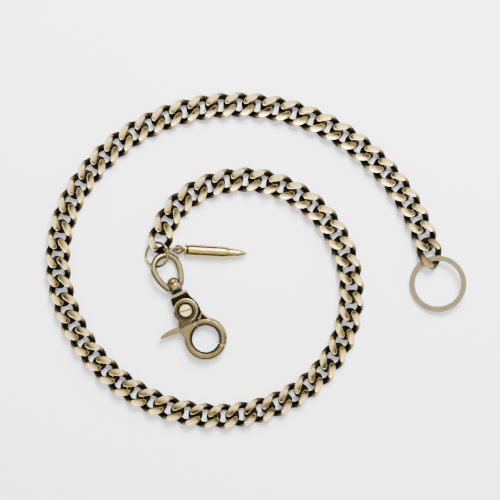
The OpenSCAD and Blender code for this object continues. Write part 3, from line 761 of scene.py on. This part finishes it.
class CHAIN_OT_lever(bpy.types.Operator):
    """Builds the lever: rimmed round end, plate, thumb tab and the moving half of the hook"""

    bl_idname = "chain.lever"
    bl_label = "Lever"

    def execute(self, context):
        clasp, look = context.scene.chain_clasp, finishes()
        place = clasp_frame()
        dull, brass, rim, black = 0, 1, 2, 3
        pivot = place @ Matrix.Translation((PIVOT[0] * MM, 0, 0))
        head = lathe([(BORE, 0.06), (BORE, 1.0), (2.8, 1.0), (2.86, 1.1), (2.86, 1.36), (2.98, 1.5), (3.5, 1.5),
                      (3.62, 1.42), (4.3, 1.42), (4.4, 1.2), (4.4, 0.1), (4.3, 0.06), (BORE, 0.06)], pivot, 72, dull)
        # Painted shade: the recess round the screw is painted black.
        for face in head.faces:
            if (face.calc_center_median() - pivot.translation).to_2d().length < 2.9 * MM:
                face.material_index = black
        bead = open_ring(3.98 * MM, [(0.38 * math.cos(t), 1.42 + 0.26 * math.sin(t)) for t in
                                     (math.tau * k / 10 for k in range(10))], pivot, 110, 5 - 55, 56, 0, rim)
        outline = ([(7.6, 4.0), (8.9, 3.5), (9.85, 2.6), (9.95, 1.2), (10.5, 0.6), (12.2, 0.6), (12.9, 0.0),
                    (12.6, -4.6), (10.6, -4.7), (8.6, -3.9), (6.3, -4.4)] + arc(PIVOT, 3.1, -88, 66, 12))
        blade = plate(outline, 0.06, 1.5, place, 0, 0.2, material=dull)
        root = plate([(11.5, 0.35), (13.0, 0.1), (14.2, -1.6), (15.6, -4.3), (12.6, -5), (11.5, -4.6), (11.2, -2.4)],
                     -1.66, 1.56, place, 0.3, 0.35, material=brass)
        tab = plate([(10.5, -4.0), (10.4, -5.2), (10.25, -7.4), (10.4, -9.6), (10.85, -11.6), (11.2, -12.2),
                     (11.7, -12.15), (11.95, -11.6), (12.05, -9.6), (12.1, -7.4), (12.4, -5.2), (12.9, -4.2)],
                    -1.45, 1.45, place, 0.25, 0.45, material=brass)
        hook = hook_shell(clasp, place, NECK_SPLIT + HOOK_GAP, 360 + HOOK_SPLIT - HOOK_GAP, brass)
        piece("cast_lever", [head, bead, blade, root, tab, hook],
              [look["plate"], look["hook"], look["rim"], look["black"]], "lever", ["clasp_lever"])
        return {"FINISHED"}


class CHAIN_OT_screw(bpy.types.Operator):
    """Builds the slotted pivot screw and gives the return spring its steel"""

    bl_idname = "chain.screw"
    bl_label = "Pivot Screw"

    def execute(self, context):
        clasp, look = context.scene.chain_clasp, finishes()
        place = clasp_frame() @ Matrix.Translation((PIVOT[0] * MM, 0, 0))
        turn = clasp.slot_turn - clasp_frame().to_euler().z
        shells = [lathe([(0, -HALF_CLASP), (1.1, -HALF_CLASP), (1.2, -1.6), (1.2, 1.06), (2.25, 1.06), (2.3, 1.12),
                         (2.3, 1.24), (0, 1.24)], place, material=1)]
        for way in (1, -1):
            half = lathe([(0, 1.2), (2.1, 1.2), (2.1, 1.42), (1.98, 1.56), (1.5, 1.67), (0.8, 1.73), (0, 1.75)],
                         Matrix.Rotation(turn, 4, "Z"))
            normal = Matrix.Rotation(turn, 3, "Z") @ Vector((0, way, 0))
            bmesh.ops.bisect_plane(half, geom=half.verts[:] + half.edges[:] + half.faces[:], dist=1e-7,
                                   plane_co=normal * 0.3 * MM, plane_no=-normal, clear_outer=True)
            close_ends(half)
            bmesh.ops.transform(half, matrix=place, verts=half.verts)
            shells.append(dress(half, 0))
        piece("slotted_screw", shells, [look["screw"], look["rivet"]], "clasp", ["pivot_screw"], 30)
        spring = frame["nodes"]["lever_spring"]
        spring.data.materials.clear()
        spring.data.materials.append(look["steel"])
        return {"FINISHED"}


# ---------------------------------------------------------------- charm


class CHAIN_OT_charm(bpy.types.Operator):
    """Builds the cartridge charm: eye, turned case and pointed nose"""

    bl_idname = "chain.charm"
    bl_label = "Cartridge Charm"

    def execute(self, context):
        charm, look = context.scene.chain_charm, finishes()
        base = turned(Vector(CHARM_PLACE) * MM, math.radians(CHARM_HEADING))
        place = base @ ALONG
        r, n = charm.case / 2 / MM, charm.neck / 2 / MM
        eye = open_ring(1.3 * MM, round_section(0.5, 16), base @ Matrix.Translation((-2.1 * MM, 0, 0)), 0.5, 0, 40)
        peg = lathe([(0, -0.9), (0.55, -0.9), (0.65, -0.7), (0.65, 0.4), (0, 0.4)], place, 24)
        piece("charm_loop", [eye, peg], [look["rivet"]], "charm", ["charm_eye"])
        case = lathe([(0, 0), (r - 0.35, 0), (r - 0.12, 0.04), (r, 0.18), (r, 0.62), (r - 0.08, 0.72),
                      (r - 0.35, 0.86), (r - 0.38, 1.25), (r - 0.1, 1.55), (r, 1.7), (r, 7), (r, 14.1),
                      (r - 0.03, 14.25), (n + 0.06, 15.9), (n, 16.1), (n, 16.9), (n - 0.05, 17.3), (n - 0.14, 17.4),
                      (0, 17.4)], place, 64)
        groove = lathe([(r - 0.36, 0.8), (r - 0.33, 0.84), (r - 0.345, 1.3), (r - 0.5, 1.35), (r - 0.5, 0.8),
                        (r - 0.36, 0.8)], place, 64, 1)
        piece("turned_case", [case, groove], [look["case"], look["black"]], "charm", ["charm_case"], 28)
        m, rise = n - 0.18, charm.over_all / MM - 17.4
        curve = [(m * (1 - (k / 16) ** 2.1) ** 0.9, 17.4 + rise * 0.985 * k / 16) for k in range(17)]
        nose = lathe([(0, 17.2), (m, 17.2)] + curve, place, 48)
        piece("pointed_nose", [nose], [look["nose"]], "charm", ["charm_nose"], 50)
        return {"FINISHED"}


# ---------------------------------------------------------------- stage


class CHAIN_OT_stage(bpy.types.Operator):
    """Sets out the pale floor, the soft lights and the camera straight above"""

    bl_idname = "chain.stage"
    bl_label = "Stage"

    def execute(self, context):
        scene = context.scene
        bm = bmesh.new()
        bmesh.ops.create_grid(bm, x_segments=1, y_segments=1, size=1.5)
        bmesh.ops.translate(bm, vec=(0, 0, CAD_BOX[0][2] - 0.00002), verts=bm.verts)
        mesh = bpy.data.meshes.new("floor")
        bm.to_mesh(mesh)
        bm.free()
        floor = bpy.data.objects.new("floor", mesh)
        scene.collection.objects.link(floor)
        paper = bpy.data.materials.new("Pale paper")
        paper.use_nodes = True
        shader = paper.node_tree.nodes["Principled BSDF"]
        shader.inputs["Base Color"].default_value = (0.98, 0.98, 0.98, 1)
        shader.inputs["Roughness"].default_value = 0.8
        mesh.materials.append(paper)
        world = bpy.data.worlds.new("studio")
        world.use_nodes = True
        tree = world.node_tree
        up = tree_node(tree, "ShaderNodeSeparateXYZ", {0: tree.nodes.new("ShaderNodeTexCoord").outputs["Generated"]})
        tree.links.new(ramp(tree, up.outputs[2], 0.45, 1.0, 0.1, 2.8), tree.nodes["Background"].inputs["Strength"])
        tree.nodes["Background"].inputs["Color"].default_value = (1, 1, 1, 1)
        scene.world = world
        for name, place, size, power in (
                ("overhead", (0.15, 0.45, 0.6), 0.35, 24.0),
                ("left", (-0.75, 0.1, 0.35), 0.3, 2.0),
                ("right", (0.7, 0.35, 0.3), 0.3, 4.0)):
            data = bpy.data.lights.new(name, "AREA")
            data.size, data.energy = size, power
            lamp = bpy.data.objects.new(name, data)
            lamp.location = place
            lamp.rotation_euler = (-Vector(place)).to_track_quat("-Z", "Y").to_euler()
            scene.collection.objects.link(lamp)
        data = bpy.data.cameras.new("above")
        data.lens, data.sensor_width = 100, 36
        camera = bpy.data.objects.new("above", data)
        camera.location = (-1.9 * MM, 3.7 * MM, 2 * MM + 177 * MM * 100 / 36)
        scene.collection.objects.link(camera)
        scene.camera = camera
        return {"FINISHED"}


# ---------------------------------------------------------------- add-on


class CHAIN_PT_panel(bpy.types.Panel):
    bl_idname = "CHAIN_PT_panel"
    bl_label = "Watch Chain"
    bl_space_type = "VIEW_3D"
    bl_region_type = "UI"
    bl_category = "Watch Chain"

    def draw(self, context):
        for group in ("chain_links", "chain_rings", "chain_clasp", "chain_charm", "chain_finish"):
            box = self.layout.box()
            settings = getattr(context.scene, group)
            for name in settings.__annotations__:
                box.prop(settings, name)
        for operator in OPERATORS:
            self.layout.operator(operator.bl_idname)


OPERATORS = (CHAIN_OT_stage, CHAIN_OT_links, CHAIN_OT_split_ring, CHAIN_OT_jump_rings, CHAIN_OT_swivel,
             CHAIN_OT_clasp_body, CHAIN_OT_lever, CHAIN_OT_screw, CHAIN_OT_charm)
SETTINGS = {"chain_links": ChainSettings, "chain_rings": RingSettings, "chain_clasp": ClaspSettings,
            "chain_charm": CharmSettings, "chain_finish": FinishSettings}


def register():
    for cls in (*SETTINGS.values(), *OPERATORS, CHAIN_PT_panel):
        bpy.utils.register_class(cls)
    for name, cls in SETTINGS.items():
        setattr(bpy.types.Scene, name, PointerProperty(type=cls))


def unregister():
    for name in SETTINGS:
        delattr(bpy.types.Scene, name)
    for cls in reversed((*SETTINGS.values(), *OPERATORS, CHAIN_PT_panel)):
        bpy.utils.unregister_class(cls)


def main():
    register()
    for operator in OPERATORS:
        family, name = operator.bl_idname.split(".")
        getattr(getattr(bpy.ops, family), name)()


if __name__ == "__main__":
    main()
